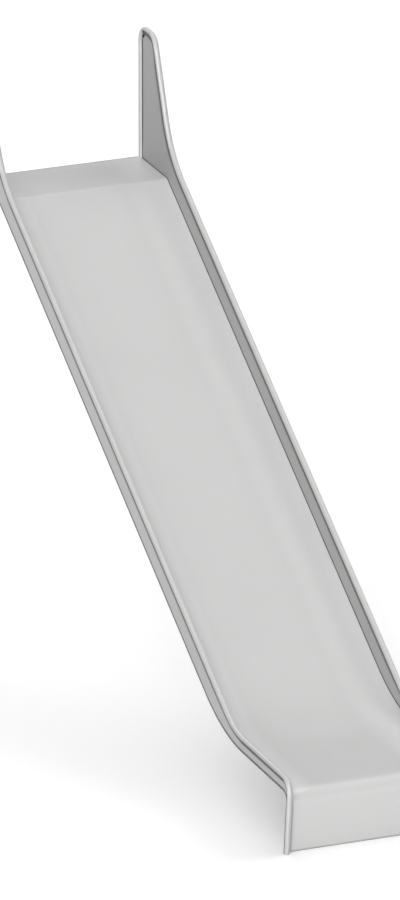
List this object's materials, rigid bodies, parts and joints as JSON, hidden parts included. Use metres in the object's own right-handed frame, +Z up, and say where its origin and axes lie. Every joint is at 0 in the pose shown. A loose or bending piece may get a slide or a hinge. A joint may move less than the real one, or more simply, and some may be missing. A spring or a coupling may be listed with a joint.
{
  "type": "playground slide",
  "caption": "Straight stainless steel slide chute with tall entry fins, tubular side rails, a level runout and a front skirt down to the ground.",
  "frame": {"origin": "on the ground, at the middle of the overall length and width", "axes": "+Z up, +Y from the exit towards the entry, X across the chute"},
  "size_m": [1.0368, 4.6878, 3.0748],
  "materials": {
    "chute_steel": "satin stainless steel sheet, fine grain along the slide",
    "rail_steel": "satin stainless steel tube, slightly brighter than the sheet",
    "frame_steel": "pickled stainless steel, dull",
    "fastener_steel": "bright fastener steel",
    "plug_plastic": "black, matte"
  },
  "bodies": {
    "root": {"chute_bed": "chute_steel", "left_side_panel": "chute_steel", "right_side_panel": "chute_steel", "left_rail": "rail_steel", "right_rail": "rail_steel", "left_rail_rear_cap": "rail_steel", "right_rail_rear_cap": "rail_steel", "left_rail_ground_cap": "rail_steel", "right_rail_ground_cap": "rail_steel", "left_hole_plug": "plug_plastic", "right_hole_plug": "plug_plastic", "entry_stiffener": "frame_steel", "incline_stiffener_1": "frame_steel", "incline_stiffener_2": "frame_steel", "incline_stiffener_3": "frame_steel", "incline_stiffener_4": "frame_steel", "incline_stiffener_5": "frame_steel", "runout_stiffener_rear": "frame_steel", "runout_stiffener_front": "frame_steel", "mounting_angle": "frame_steel", "angle_gusset_1": "frame_steel", "angle_gusset_2": "frame_steel", "angle_gusset_3": "frame_steel", "skirt_bar": "frame_steel", "left_leg_hanger": "frame_steel", "right_leg_hanger": "frame_steel", "left_leg": "frame_steel", "right_leg": "frame_steel", "left_base_plate": "frame_steel", "right_base_plate": "frame_steel", "left_leg_bolt_1": "fastener_steel", "left_leg_bolt_2": "fastener_steel", "right_leg_bolt_1": "fastener_steel", "right_leg_bolt_2": "fastener_steel", "left_leg_washer_1": "fastener_steel", "left_leg_washer_2": "fastener_steel", "right_leg_washer_1": "fastener_steel", "right_leg_washer_2": "fastener_steel", "left_leg_nut_1": "fastener_steel", "left_leg_nut_2": "fastener_steel", "right_leg_nut_1": "fastener_steel", "right_leg_nut_2": "fastener_steel"}
  },
  "joints": []
}
